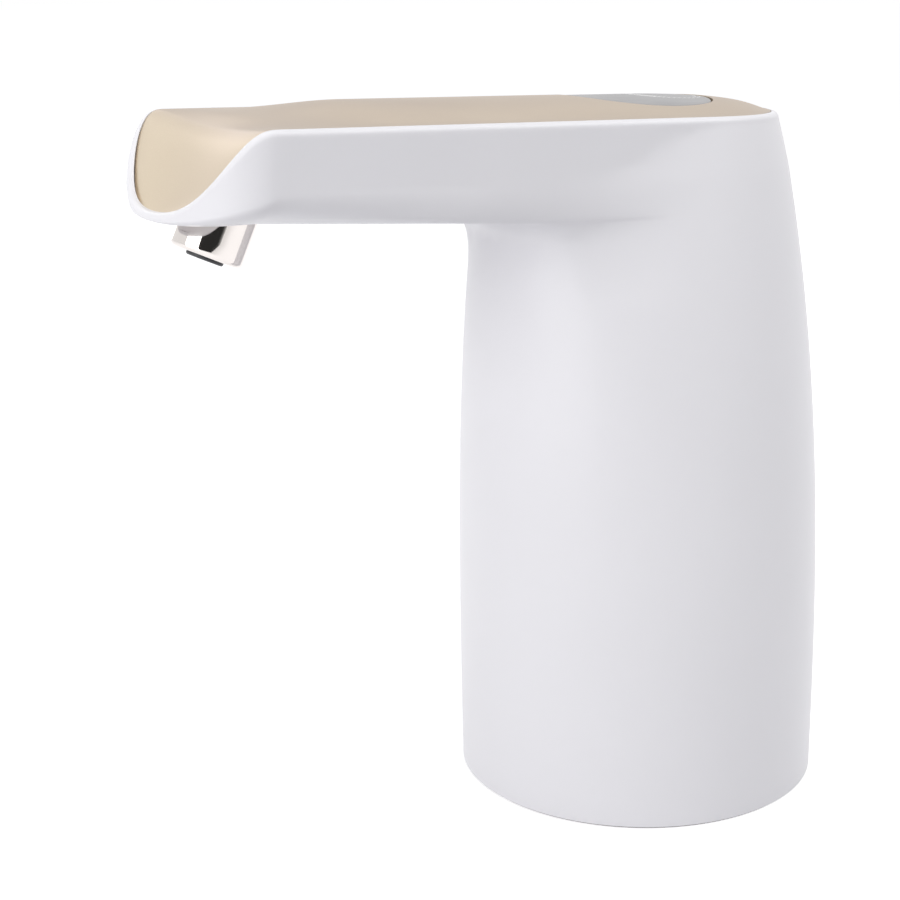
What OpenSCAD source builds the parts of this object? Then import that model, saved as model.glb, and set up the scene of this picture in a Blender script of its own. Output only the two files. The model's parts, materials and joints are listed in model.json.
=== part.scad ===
/* [Housing] */
// Width of the foot, from the bottle socket to the outside
foot_w = 10.35; // [9.5:0.05:12]
// Height of the top rim above the middle of the base
body_h = 143.5; // [130:0.5:156]
// How far the side walls lean in between base and rim
side_taper = 11; // [9:0.5:12]
// Wall thickness of the housing
wall = 2.2; // [1.8:0.1:2.5]
// Height of the spout where it leaves the body
spout_h = 18.3; // [17:0.1:20]
// Distance from the body axis to the start of the rounded nose
spout_x = 92; // [88:1:100]
// Length of the rounded nose
nose_len = 17.2; // [16:0.4:20]
// How far the rim dips at the tip of the nose
scoop_drop = 14.5; // [12:0.5:14.5]
// Rise of the top towards the spout, in mm per mm
top_rise = 0.035; // [0:0.005:0.04]
// Width of the white lip around the top panel
lip = 2; // [1.6:0.1:2.4]

/* [Top panel and button] */
// Thickness of the top panel
panel_t = 1.6; // [1.2:0.1:1.6]
// Height of the panel's crown over the body
crown = 2.5; // [1:0.1:3]
// Depth of the dish in the scoop
dish = 2.5; // [1:0.1:3]
// Radius of the button's round end
button_r = 13.7; // [11:0.1:14]
// Distance between the button's round end and its point
button_len = 15.5; // [14:0.5:18]
// Travel of the button
button_travel = 0.6; // [0.4:0.1:0.8]

/* [Bottle neck] */
// Radius of the socket that takes a 55 mm bottle neck
neck_r = 28.4; // [25:0.1:32]
// Depth of the socket that stays clear for the neck
neck_depth = 18; // [16:1:18]

/* [Nozzle] */
// Outer radius of the nozzle
nozzle_r = 7.3; // [6:0.1:8]
// Lean of the nozzle away from the body, in degrees
nozzle_tilt = 25; // [15:1:28]

/* [Pump and power] */
// Radius of the motor can
motor_r = 12.2; // [11.5:0.1:12.6]
// Length of the motor can
motor_l = 31; // [28:0.5:32]
// Radius of the motor shaft
shaft_r = 1; // [0.8:0.1:1.2]
// Tilt of the wobble plate, in degrees
wobble_tilt = 6; // [4:0.5:7]
// Radius of the battery cell
cell_r = 9.2; // [9:0.05:9.3]
// Length of the battery cell
cell_l = 65; // [63:0.5:66]
// Outer radius of the water tubes
tube_r = 3.5; // [3:0.1:3.6]

/* [Hidden] */
$fn = 64;

// Clearances
gap = 0.15;
run_gap = 0.05;
move_gap = 0.3;
cut = 1;

// Housing shape
base_r = neck_r + foot_w;
root_z = body_h - spout_h;
ring_t = 1.6;
belly = 0.4;
taper_power = 2.7;
front_taper = 2.7;
front_power = 4;
root_up = 6;
root_out = 13;
root_lift = 0.6;
rim_round = 1.2;
scoop_power = 2.1;
under_rise = 0.055;
floor_t = 1.2;
ledge = 1.4;
ledge_t = 0.6;
blend_from = 8;
blend_lead = 6;
spout_draft = 0.03;
front_root = base_r - front_taper;
blend_to = front_root + blend_lead;
spout_w = base_r - side_taper;
ring_power = 1.4;
n_side = 16;
n_flank = 5;
n_nose = 16;
n_front = 2 * n_side + n_nose;
n_rear = 28;
n_ring = n_front + n_rear;

// Rounded bottom edge of the spout: its inset grows from the root to the nose
nose_land = 2.45;
edge_root = 2.8;
edge_mid = 9;
edge_nose = spout_w - nozzle_r - nose_land;
edge_tip = 3.5;
edge_up = 7;
edge_up_tip = 2.2;
edge_lead = 2;
edge_from = front_root + edge_lead;
edge_run = 14;

// Valley where the flanks of body and spout meet
valley = 5;
valley_run = 12;
corner_from = 0.3;
corner_to = 0.55;

function lerp(a, b, t) = a + (b - a) * t;
function smooth(t) = let(u = max(0, min(1, t))) u * u * (3 - 2 * u);
function soft_max(a, b, k) = let(near = max(k - abs(a - b), 0)) max(a, b) + near * near / max(4 * k, 0.001);
function belly_r(z) = base_r + belly * sin(180 * max(0, min(1, z / body_h)));
function side_r(z) = belly_r(z) - side_taper * pow(max(0, z) / body_h, taper_power);
function front_r(z) = belly_r(z) - front_taper * pow(max(0, z) / root_z, front_power);
function under_z(x) = root_z + under_rise * max(0, -x - front_root);
function spout_weight(x) = smooth((-x - blend_from) / (blend_to - blend_from));
function valley_k(x) = valley * smooth(-x / valley_run);

// Rim height at a point of the outline, where c is the cosine round the nose
function rim_z(x, c) = body_h - top_rise * x - scoop_drop * pow(c, scoop_power);

// Share of the straight side up to point j, and the nose's cosine and sine there
function side_share(j) = min(1, min(j, n_front - j) / n_side);
function nose_angle(j) = max(-90, min(90, -90 + 180 * (j - n_side) / n_nose));

// Cosine round the front of the body, with the flank's points at the spout outline's x
function bend_cos(reach) = spout_x * n_flank / n_side / reach;
function front_cos(j, reach) =
    let(bend = acos(bend_cos(reach)))
    side_share(j) < n_flank / n_side ? spout_x * side_share(j) / reach :
    cos(lerp(-bend, bend, (j - n_flank) / (n_front - 2 * n_flank)));

// How far the root's fillet reaches out, from nothing at the flank to all in front
function root_reach(c, reach) = root_out * smooth((c - bend_cos(reach)) / (1 - bend_cos(reach)));

// Half width of the body's front, its corners flared towards the spout's sides
function front_y(c, reach, w_body, w_flare) =
    let(s = sqrt(1 - c * c),
        flared = soft_max(w_body * s, w_flare, valley_k(-c * reach)))
    lerp(w_body * s, flared, smooth((s - corner_from) / (corner_to - corner_from)));

// Half width of the spout's outline, which runs into the body's flank
function spout_y(x, reach, w_body, w_spout, inset, f) =
    let(flank = w_body * sqrt(max(0, 1 - pow(x / reach, 2))))
    soft_max(flank, w_spout - inset, valley_k(x) * (1 - f));

// One closed ring of the housing. rear is the height behind the axis, d an inset all round, e and up
// the shares of the bottom edge's rounding inwards and upwards, m the blend from round body to spout,
// grow the share of the root's fillet, f the share of the way up the wall, drop a step below that,
// thick the height over the underside and tip the rounding's height at the nose.
function ring(rear, d, e, m, grow, up, f, drop, thick, tip) = [
    for (j = [0 : n_front])
        let(c_nose = max(0, cos(nose_angle(j))),
            s_x = -spout_x * side_share(j) - (nose_len - d - e * edge_tip) * c_nose,
            rise = lerp(rear, body_h, f),
            reach = front_r(min(rise, root_z)) - d,
            w_body = side_r(rise) - d,
            w_spout = spout_w + spout_draft * (1 - f) * (body_h - root_z) - d,
            c = front_cos(j, reach),
            x = lerp(-reach * c - grow * root_reach(c, reach), s_x, m),
            share = up < 0 ? 0 : spout_weight(x),
            low = lerp(rear, under_z(x) + up * lerp(edge_up, tip, c_nose) + thick, share),
            flare = edge_root * pow(max(0, root_z + edge_up + thick - low) / edge_up, 2),
            away = smooth((-s_x - edge_from) / edge_run),
            inset = lerp(flare, e * lerp(edge_mid, edge_nose, side_share(j)), away),
            y_body = front_y(c, reach, w_body, w_spout - flare),
            y_spout = abs(sin(nose_angle(j))) * spout_y(s_x, reach, w_body, w_spout, inset, f),
            y = (2 * j < n_front ? -1 : 1) * lerp(y_body, y_spout, m))
        [x, y, lerp(low, rim_z(x, c_nose * m), f) - drop],
    for (k = [1 : n_rear - 1])
        let(a = 90 - 180 * k / n_rear,
            w_body = side_r(lerp(rear, body_h, f)) - d,
            x = w_body * cos(a))
        [x, w_body * sin(a), lerp(rear, rim_z(x, 0), f) - drop]];

function body_ring(z, d) = ring(z, d, 0, 0, 0, -1, 0, 0, 0, 0);
function root_ring(a, d, thick) =
    let(out = 1 - cos(a))
    ring(root_z - root_up * (1 - sin(a)) + thick * out, d, 0, 0, out, -1, 0, 0, thick * out, 0);
function under_ring(m, d, thick) = ring(root_z + root_lift * m + thick, d, 1, m, 1, 0, 0, 0, thick, 0);
function edge_ring(a, d, thick, tip) =
    let(up = 1 - cos(a))
    ring(root_z + lerp(root_lift, edge_up, up) + thick, d, 1 - sin(a), 1, 0, up, 0, 0, thick, tip);
function wall_ring(f, d, drop) = ring(root_z + edge_up, d, 0, 1, 0, 1, f, drop, 0, edge_up_tip);

outer_rings = [
    for (k = [0 : 9]) body_ring(lerp(ring_t, root_z - root_up, 1 - pow(1 - k / 10, ring_power)), 0),
    for (a = [0 : 18 : 90]) root_ring(a, 0, 0),
    for (m = [0.3, 0.65, 1]) under_ring(m, 0, 0),
    for (a = [30, 60, 90]) edge_ring(a, 0, 0, edge_up_tip)];
rim_rings = [
    for (f = [0.3, 0.65]) wall_ring(f, 0, f * rim_round),
    for (a = [0, 45, 90]) wall_ring(1, rim_round * (1 - cos(a)), rim_round * (1 - sin(a))),
    wall_ring(1, lip, 0),
    wall_ring(1, lip, panel_t),
    wall_ring(1, lip + ledge, panel_t),
    wall_ring(1, lip + ledge, panel_t + ledge_t)];
inner_rings = [
    for (a = [90, 45, 0]) edge_ring(a, wall, floor_t, 0),
    for (m = [0.5, 0]) under_ring(m, wall, floor_t),
    for (a = [60, 30, 0]) root_ring(a, wall, floor_t),
    for (k = [7 : -1 : 0]) body_ring(lerp(ring_t, root_z - root_up, k / 8), wall)];

// Closed skin through a loop of rings
module ring_skin(rings) {
    n = len(rings);
    polyhedron(
        points = [for (r = rings) each r],
        faces = [
            for (i = [0 : n - 1], j = [0 : n_ring - 1])
                let(a = i * n_ring + j,
                    b = i * n_ring + (j + 1) % n_ring,
                    c = ((i + 1) % n) * n_ring + (j + 1) % n_ring,
                    d = ((i + 1) % n) * n_ring + j)
                each [[a, b, c], [a, c, d]]]);
}

// Layout of the inside
sleeve_wall = 2.1;
sleeve_r = neck_r + sleeve_wall;
seal_w = 3;
seal_step = 1;
seal_h = 6;
deck_z = neck_depth + seal_h;
deck_t = 2.5;
deck_top = deck_z + deck_t;
deck_gap = 0.4;
deck_r = side_r(deck_top) - wall - deck_gap;
boss_r = 3.4;
boss_h = 14;
boss_sink = 0.8;
boss_floor = 2;
boss_at = side_r(deck_top + boss_h) - wall - boss_r + boss_sink;
screw_r = 1.25;
screw_head_r = 2;
screw_head_h = 1.6;
slot_w = 0.6;
slot_d = 0.8;
pump_x = 7;
pump_r = 13.5;
head_t = 6;
valve_t = 2.5;
sheet_t = 1.5;
rock_rise = 7;
plate_low = 1;
hub_h = 5.6;
hub_gap = 0.8;
eccentric_h = 5;
floor_plate = 2;
housing_h = rock_rise + plate_low + hub_h + hub_gap + eccentric_h + 2 * move_gap + floor_plate;
cap_t = 3;
terminal_h = 4;
board_t = 1.6;
board_drop = 8.2;
board_room = 2;
board_z = root_z - board_drop;
head_z = board_z - board_room - terminal_h - cap_t - motor_l - housing_h - sheet_t - valve_t - head_t;
valve_z = head_z + head_t;
sheet_z = valve_z + valve_t;
housing_z = sheet_z + sheet_t;
motor_z = housing_z + housing_h;
motor_top = motor_z + motor_l;
plate_t = 2;
cell_x = -20;
tab_t = 0.4;
cell_z = deck_top + plate_t + tab_t;
nipple_r = 2.6;
bore_r = 1.8;
connector_t = 2;
pipe_gap = 1;
nipple_l = 7;
screw_hold = 5;
ear_at = 15.5;
ear_r = 3;
usb_w = 9;
usb_h = 3.2;
usb_l = 7.4;
usb_set = 1.6;
usb_deep = 5;
usb_skin = 0.3;
usb_tongue = 0.4;
usb_z = board_z + board_t + usb_h / 2;
usb_face = side_r(usb_z) - usb_set;
nozzle_ahead = 5.9;
nozzle_drop = 3.3;
nozzle_x = -spout_x - nozzle_ahead;
nozzle_z = root_z - nozzle_drop;
nozzle_neck_r = 4.5;
nozzle_wall = 1.4;
nozzle_lip = 1;
cup_d = 3;
insert_in = 0.6;
nut_r = 5.8;
nut_t = 2.2;
nut_lift = 0.3;
tube_grip = 2;
under_lean = atan(under_rise);
nut_z = (under_z(nozzle_x) + floor_t - nozzle_z) / cos(nozzle_tilt)
    + nut_r * tan(nozzle_tilt + under_lean) + nut_lift;
nozzle_top = nut_z + nut_t + tube_grip;
button_x = 1.5;
button_sink = 1.2;
tip_r = 3;
panel_top = body_h + crown;

module at_pump() { translate([pump_x, 0, 0]) children(); }
module at_nozzle() { translate([nozzle_x, 0, nozzle_z]) rotate([0, nozzle_tilt, 0]) children(); }
module at_bosses() { for (a = [30, 150, 270]) rotate(a) translate([boss_at, 0, 0]) children(); }
module at_ears() { for (a = [0, 120, 240]) rotate(a) translate([ear_at, 0, 0]) children(); }

// Tube between two heights
module pipe(r_out, r_in, z0, z1) {
    translate([0, 0, z0]) difference() {
        cylinder(r = r_out, h = z1 - z0);
        translate([0, 0, -cut]) cylinder(r = r_in, h = z1 - z0 + 2 * cut);
    }
}

module rod(r, z0, z1) { translate([0, 0, z0]) cylinder(r = r, h = z1 - z0); }

module box(x0, x1, y0, y1, z0, z1) { translate([x0, y0, z0]) cube([x1 - x0, y1 - y0, z1 - z0]); }

// Pan head screw with its head's seat at z = 0, shank upwards
module screw(len) {
    difference() {
        union() {
            rod(screw_head_r, -screw_head_h, 0);
            rod(screw_r, 0, len);
        }
        for (a = [0, 90]) rotate(a)
            box(-screw_r, screw_r, -slot_w / 2, slot_w / 2, -screw_head_h - cut, -screw_head_h + slot_d);
    }
}

// Housing: round body, spout and nose in one moulding
module main_shell() {
    color("white") difference() {
        union() {
            ring_skin(concat(outer_rings, rim_rings, inner_rings));
            at_bosses() rod(boss_r, deck_top, deck_top + boss_h);
        }
        at_bosses() rod(screw_r, deck_top - cut, deck_top + boss_h - boss_floor);
        at_nozzle() rod(nozzle_neck_r + gap, 0, nozzle_top);
        box(usb_face - usb_l, base_r, -usb_w / 2 - gap, usb_w / 2 + gap,
            usb_z - usb_h / 2 - gap, usb_z + usb_h / 2 + gap);
    }
}

// Outline of the teardrop button, larger by d
module teardrop(d) {
    tip_x = button_x - button_len;
    lean = asin((button_r - tip_r) / button_len);
    big = button_r + d;
    small = tip_r + d;
    translate([button_x, 0]) circle(r = big);
    translate([tip_x, 0]) circle(r = small);
    polygon([
        [button_x - big * sin(lean), big * cos(lean)],
        [tip_x - small * sin(lean), small * cos(lean)],
        [tip_x - small * sin(lean), -small * cos(lean)],
        [button_x - big * sin(lean), -big * cos(lean)]]);
}

// Panel surface, by rows across from the rear round the near edge to the nose
panel_w = spout_w - lip - gap;
panel_nose = nose_len - lip - gap;
end_angle = 5;
n_across = 12;
crown_run = 45;
dish_run = 14;
row_angles = [for (k = [0 : 8]) lerp(end_angle, 90, k / 8)];
function panel_crown(x) =
    crown * smooth((x + spout_x) / crown_run) * (1 - pow(max(0, x) / panel_w, 2))
    - dish * smooth((spout_x - dish_run / 2 + x) / -dish_run);
panel_rows = [
    for (a = row_angles) [panel_w * cos(a), panel_w * sin(a), 0],
    for (k = [1 : 13]) [-spout_x * k / 14, panel_w, 0],
    for (k = [8 : -1 : 0])
        let(a = row_angles[k]) [-spout_x - panel_nose * cos(a), panel_w * sin(a), max(0, cos(a))]];
function panel_row(r, low) = [
    for (k = [0 : n_across])
        let(t = -1 + 2 * k / n_across)
        [r[0], t * r[1], rim_z(r[0], r[2]) + panel_crown(r[0]) * (1 - t * t) * r[1] / panel_w - low]];

// Sheet between its upper and lower rows
module row_sheet(rows) {
    n = len(rows);
    w = n_across + 1;
    under = n * w;
    polyhedron(
        points = concat(
            [for (r = rows) each panel_row(r, 0)],
            [for (r = rows) each panel_row(r, panel_t)]),
        faces = [
            for (i = [0 : n - 2], j = [0 : n_across - 1])
                let(a = i * w + j, b = a + w)
                each [[a, b, b + 1], [a, b + 1, a + 1],
                    [under + a, under + b + 1, under + b], [under + a, under + a + 1, under + b + 1]],
            for (i = [0 : n - 2])
                let(a = i * w, b = a + w, c = a + n_across, d = b + n_across)
                each [[a, under + a, under + b], [a, under + b, b],
                    [c, d, under + d], [c, under + d, under + c]],
            for (j = [0 : n_across - 1])
                let(a = j, c = (n - 1) * w + j)
                each [[a, a + 1, under + a + 1], [a, under + a + 1, under + a],
                    [c, under + c, under + c + 1], [c, under + c + 1, c + 1]]]);
}

// Board and switch under the button
post_y = 18.5;
button_board_z = body_h - 11.1;
switch_h = 3.4;
plunger_h = 1;
plunger_r = 1.7;
plunger_room = 0.2;
switch_z = button_board_z + board_t;
stem_z = switch_z + switch_h + plunger_h;
button_t = 2.6;
stem_r = 2;
inlay_x = 5;
inlay_r = 6.4;
inlay_w = 0.8;
inlay_t = 0.6;
button_top = panel_top - button_sink;
stem_sink = 1;
button_lean = 3;
post_r = 2.4;
small_screw_r = 0.8;
small_screw_l = 5;

module at_posts() { for (s = [-1, 1]) translate([button_x, s * post_y, 0]) children(); }

// Gold panel: crowned over the body, dished at the nose
module top_panel() {
    color([0.87, 0.81, 0.7]) difference() {
        union() {
            row_sheet(panel_rows);
            at_posts() rod(post_r, switch_z, body_h);
        }
        translate([0, 0, body_h - panel_t - cut]) linear_extrude(panel_top) teardrop(move_gap);
        at_posts() rod(small_screw_r, switch_z - cut, switch_z + small_screw_l);
    }
}

// Frame of the button's face, which leans with the panel
module at_button() { translate([button_x, 0, button_top]) rotate([0, button_lean, 0]) children(); }

// Button plate with its stem down to the switch
module power_button() {
    color([0.68, 0.68, 0.7]) difference() {
        union() {
            at_button() translate([-button_x, 0, -button_t]) linear_extrude(button_t) teardrop(0);
            translate([button_x, 0, 0]) rod(stem_r, stem_z, button_top - stem_sink);
        }
        at_button() translate([inlay_x, 0, 0]) pipe(inlay_r + inlay_w, inlay_r, -inlay_t, cut);
    }
}

// Plain light ring let into the button
module button_inlay() {
    color("white") at_button() translate([inlay_x, 0, 0]) pipe(inlay_r + inlay_w, inlay_r, -inlay_t, 0);
}

strip_x = 6;
strip_end = 3;
module button_board() {
    color("darkgreen") difference() {
        box(button_x - strip_x, button_x + strip_x, -post_y - strip_end, post_y + strip_end,
            button_board_z, switch_z);
        at_posts() rod(small_screw_r + gap, button_board_z - cut, switch_z + cut);
    }
}

small_head_r = 1.7;
small_head_h = 1.2;
small_slot_w = 0.4;
small_slot_d = 0.5;
module board_screws() {
    color("silver") at_posts() translate([0, 0, button_board_z]) difference() {
        union() {
            rod(small_head_r, -small_head_h, 0);
            rod(small_screw_r, 0, board_t + small_screw_l);
        }
        box(-small_head_r, small_head_r, -small_slot_w / 2, small_slot_w / 2,
            -small_head_h - cut, -small_head_h + small_slot_d);
    }
}

// Switch body with a well for its plunger
switch_w = 6;
plunger_in = 1;
module tact_switch() {
    color("black") translate([button_x, 0, 0]) difference() {
        box(-switch_w / 2, switch_w / 2, -switch_w / 2, switch_w / 2, switch_z, switch_z + switch_h);
        rod(plunger_r + run_gap, switch_z + switch_h - button_travel - plunger_room - plunger_in,
            switch_z + switch_h + cut);
    }
}

module switch_plunger() {
    color("dimgray") translate([button_x, 0, 0]) rod(plunger_r, switch_z + switch_h - plunger_in, stem_z);
}

led_y = 7;
led_w = 2;
led_l = 3;
led_h = 1.2;
module status_led() {
    color("skyblue") translate([button_x, led_y, 0])
        box(-led_w / 2, led_w / 2, -led_l / 2, led_l / 2, switch_z, switch_z + led_h);
}

// Space below a plane that lies up above the spout's underside, seen from the nozzle's own frame
module under_space(up) {
    height = under_z(nozzle_x) + up - nozzle_z;
    rotate([0, -nozzle_tilt, 0]) translate([0, 0, height]) rotate([0, under_lean, 0])
        box(-spout_w, spout_w, -spout_w, spout_w, -2 * spout_w, 0);
}

// Chrome outlet, cut square to the spout's underside
module outlet_nozzle() {
    color("silver") at_nozzle() difference() {
        union() {
            intersection() {
                union() {
                    rod(nozzle_r, nozzle_lip, nozzle_top);
                    translate([0, 0, nozzle_lip]) rotate_extrude() {
                        translate([nozzle_r - nozzle_lip, 0]) circle(r = nozzle_lip);
                        translate([0, -nozzle_lip]) square([nozzle_r - nozzle_lip, 2 * nozzle_lip]);
                    }
                }
                under_space(0);
            }
            rod(nozzle_neck_r, cup_d, nozzle_top);
        }
        rod(nozzle_r - nozzle_wall, -cut, cup_d);
        rod(bore_r, -cut, nozzle_top + cut);
    }
}

// Spray insert with a ring of fine holes
hole_at = 3.8;
hole_r = 0.7;
module nozzle_insert() {
    color([0.15, 0.15, 0.16]) at_nozzle() difference() {
        rod(nozzle_r - nozzle_wall, insert_in, cup_d);
        rod(bore_r, -cut, cup_d + cut);
        for (a = [0 : 45 : 315]) rotate(a) translate([hole_at, 0, 0]) rod(hole_r, -cut, cup_d + cut);
    }
}

module nozzle_nut() {
    color("gainsboro") at_nozzle() pipe(nut_r, nozzle_neck_r, nut_z, nut_z + nut_t);
}

// Wedge that makes up the tilt between the spout's floor and the nut
module nozzle_seal() {
    color([0.2, 0.2, 0.2]) at_nozzle() difference() {
        pipe(nut_r, nozzle_neck_r, 0, nut_z);
        under_space(floor_t);
    }
}

// Tube swept along a list of points with an even number of flats
tube_sides = 10;
function unit(v) = v / norm(v);
function along(p, i) = unit(p[min(i + 1, len(p) - 1)] - p[max(i - 1, 0)]);
function mid_point(p, i, t) =
    let(a = p[max(i - 1, 0)], b = p[i], c = p[i + 1], d = p[min(i + 2, len(p) - 1)])
    0.5 * (2 * b + (c - a) * t + (2 * a - 5 * b + 4 * c - d) * t * t + (3 * b - a - 3 * c + d) * t * t * t);
function curve(p, n) = [
    for (i = [0 : len(p) - 2], k = [0 : n - 1]) mid_point(p, i, k / n),
    p[len(p) - 1]];

module tube(path, r, start, finish) {
    n = len(path);
    rings = [
        for (i = [0 : n - 1])
            let(t = i == 0 ? start : i == n - 1 ? finish : along(path, i),
                u = unit(cross(t, [1, 0.2, 0.1])),
                v = cross(t, u))
            for (k = [0 : tube_sides - 1])
                let(a = 360 * k / tube_sides) path[i] + r * (u * cos(a) + v * sin(a))];
    polyhedron(
        points = rings,
        faces = [
            [for (k = [tube_sides - 1 : -1 : 0]) k],
            for (i = [0 : n - 2], k = [0 : tube_sides - 1])
                let(a = i * tube_sides + k, b = i * tube_sides + (k + 1) % tube_sides)
                each [[a, b, b + tube_sides], [a, b + tube_sides, a + tube_sides]],
            [for (k = [0 : tube_sides - 1]) (n - 1) * tube_sides + k]]);
}

nozzle_dir = [sin(nozzle_tilt), 0, cos(nozzle_tilt)];
nozzle_end = [nozzle_x, 0, nozzle_z] + nozzle_top * nozzle_dir;
outlet_y = pump_r + nipple_l;
outlet_z = head_z + head_t / 2;
turn_y = outlet_y + 6;
rise_z = root_z - 27;
module outlet_tube() {
    route = [
        [pump_x, outlet_y, outlet_z],
        [pump_x, turn_y - 1.5, outlet_z + 2],
        [pump_x, turn_y, outlet_z + 9],
        [pump_x - 1, turn_y - 0.5, (outlet_z + rise_z) / 2],
        [pump_x - 5, turn_y - 1.5, rise_z],
        [pump_x - 17, turn_y - 5.5, root_z - 13],
        [pump_x - 25, turn_y - 12, root_z - 4],
        [pump_x - 35, 7, root_z + 4],
        [-front_root - 6, 1.5, root_z + 9],
        [-front_root - 24, 0, root_z + 11.3],
        [nozzle_end[0] + 8, 0, root_z + 13.2],
        nozzle_end + nozzle_dir * tube_grip,
        nozzle_end];
    color("white") tube(curve(route, 3), tube_r, [0, 1, 0], -nozzle_dir);
}

module ears(z0, z1) {
    at_ears() rod(ear_r, z0, z1);
}

module ear_holes(z0, z1) {
    at_ears() rod(screw_r + gap, z0 - cut, z1 + cut);
}

// Pump cover with the inlet below and the outlet at the side
pipe_half = (head_z - deck_top - connector_t - pipe_gap) / 2;
inlet_deep = 4;
collar_t = 2;
port_r = 4;
port_d = 2;
module pump_head() {
    color([0.25, 0.25, 0.27]) difference() {
        union() {
            at_pump() rod(pump_r, head_z, valve_z);
            at_pump() ears(head_z, valve_z);
            rod(nipple_r, head_z - pipe_half, head_z + 1);
            translate([pump_x, pump_r - collar_t / 2, outlet_z]) rotate([-90, 0, 0]) rod(tube_r, 0, collar_t);
            translate([pump_x, pump_r, outlet_z]) rotate([-90, 0, 0]) rod(nipple_r, 0, nipple_l);
        }
        rod(bore_r, head_z - pipe_half - cut, head_z + inlet_deep);
        translate([pump_x, 0, outlet_z]) rotate([-90, 0, 0]) rod(bore_r, port_d, pump_r + nipple_l + cut);
        at_pump() rod(port_r, valve_z - port_d, valve_z + cut);
        at_pump() ear_holes(head_z, valve_z);
    }
}

cup_at = 7;
module at_cups() { for (a = [0, 120, 240]) rotate(a) translate([cup_at, 0, 0]) children(); }

flap_r = 2.8;
flap_t = 0.5;
flap_well = 0.6;
well_r = 3;
hole_in = 1.6;
valve_hole_r = 0.5;
module valve_plate() {
    color("gainsboro") at_pump() difference() {
        union() {
            rod(pump_r, valve_z, sheet_z);
            ears(valve_z, sheet_z);
        }
        ear_holes(valve_z, sheet_z);
        at_cups() for (a = [0 : 90 : 270]) rotate(a) translate([hole_in, 0, 0])
            rod(valve_hole_r, valve_z - cut, sheet_z + cut);
        rod(valve_hole_r, valve_z - cut, sheet_z + cut);
        at_cups() rod(well_r, sheet_z - flap_well, sheet_z + cut);
    }
}

// One thin flap over the ports of each chamber
module valve_discs() {
    color([0.6, 0.1, 0.1]) at_pump() at_cups() rod(flap_r, sheet_z - flap_well, sheet_z - flap_well + flap_t);
}

// Wobble frame: its origin is the point the plate rocks about
rock_z = housing_z + rock_rise;
disc_t = 2.4;
disc_r = 9.6;
hub_r = 3;
hub_floor = 1;
module at_wobble() { translate([pump_x, 0, rock_z]) rotate([0, wobble_tilt, 0]) children(); }

// Rubber sheet with three cups that reach up to the wobble plate
cup_r = 2.6;
cup_bore = 1.8;
cup_deep = 3;
cup_root = 0.2;
cup_reach = 4;
module diaphragm() {
    color("dimgray") difference() {
        at_pump() union() {
            rod(pump_r, sheet_z, housing_z);
            ears(sheet_z, housing_z);
            at_cups() rod(cup_r, sheet_z + cup_root, rock_z + cup_reach);
        }
        at_pump() ear_holes(sheet_z, housing_z);
        at_pump() at_cups() rod(cup_bore, sheet_z - cut, sheet_z + cup_deep);
        at_wobble() rod(2 * pump_r, plate_low, housing_h);
    }
}

vent_r = 1.6;
module wobble_plate() {
    color("ivory") at_wobble() difference() {
        union() {
            rod(disc_r, plate_low, plate_low + disc_t);
            rod(hub_r, plate_low, plate_low + hub_h);
        }
        rod(shaft_r + run_gap, plate_low + hub_floor, plate_low + hub_h + cut);
        for (a = [60, 180, 300]) rotate(a) translate([cup_at, 0, 0])
            rod(vent_r, plate_low - cut, plate_low + disc_t + cut);
    }
}

// Tilted pin from the wobble plate up into the eccentric
eccentric_r = 5;
pin_spare = 0.4;
pin_in = 3;
shaft_clear = 0.2;
eccentric_z = motor_z - floor_plate - eccentric_h - 2 * move_gap;
pin_low = plate_low + hub_floor + pin_spare;
pin_high = eccentric_z - rock_z + pin_in;
shaft_low = eccentric_z + pin_in + shaft_clear;
module swash_pin() {
    color("silver") at_wobble() rod(shaft_r, pin_low, pin_high);
}

module eccentric() {
    color("white") difference() {
        at_pump() rod(eccentric_r, eccentric_z, eccentric_z + eccentric_h);
        at_wobble() rod(shaft_r, plate_low, pin_high);
        at_pump() rod(shaft_r, shaft_low, eccentric_z + eccentric_h + cut);
    }
}

motor_screw_at = 8;
module at_motor_screws() { for (a = [90, 270]) rotate(a) translate([motor_screw_at, 0, 0]) children(); }

housing_wall = 1.7;
ear_h = 7;
shaft_hole = 4;
motor_screw_in = 1.4;
module pump_housing() {
    color([0.25, 0.25, 0.27]) at_pump() difference() {
        union() {
            rod(pump_r, housing_z, motor_z);
            ears(housing_z, housing_z + ear_h);
        }
        rod(pump_r - housing_wall, housing_z - cut, motor_z - floor_plate);
        rod(shaft_hole, motor_z - floor_plate - cut, motor_z + cut);
        at_ears() rod(screw_r, housing_z - cut, housing_z + screw_hold);
        at_motor_screws() rod(screw_r, motor_z - floor_plate - cut, motor_z + cut);
    }
}

module pump_screws() {
    color("silver") at_pump() at_ears() translate([0, 0, head_z]) screw(housing_z + screw_hold - head_z);
}

module motor_screws() {
    color("silver") at_pump() at_motor_screws() translate([0, 0, motor_z - floor_plate])
        screw(floor_plate + motor_screw_in);
}

// Motor can with its magnets, bushings and brushes
can_t = 0.8;
can_floor = 1.6;
bush_r = 2.5;
module motor_can() {
    color("silver") at_pump() difference() {
        rod(motor_r, motor_z, motor_top);
        rod(motor_r - can_t, motor_z + can_floor, motor_top + cut);
        rod(bush_r, motor_z - cut, motor_z + can_floor + cut);
        at_motor_screws() rod(screw_r, motor_z - cut, motor_z + can_floor + cut);
    }
}

spigot_t = 1.2;
spigot_l = 3;
bush_in = 2;
terminal_y = 8.5;
terminal_w = 3.2;
terminal_t = 0.8;
module at_sides() { for (s = [-1, 1]) scale([1, s, 1]) children(); }

module terminal(z0, z1) {
    box(-terminal_w / 2, terminal_w / 2, terminal_y - terminal_t / 2, terminal_y + terminal_t / 2, z0, z1);
}

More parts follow.
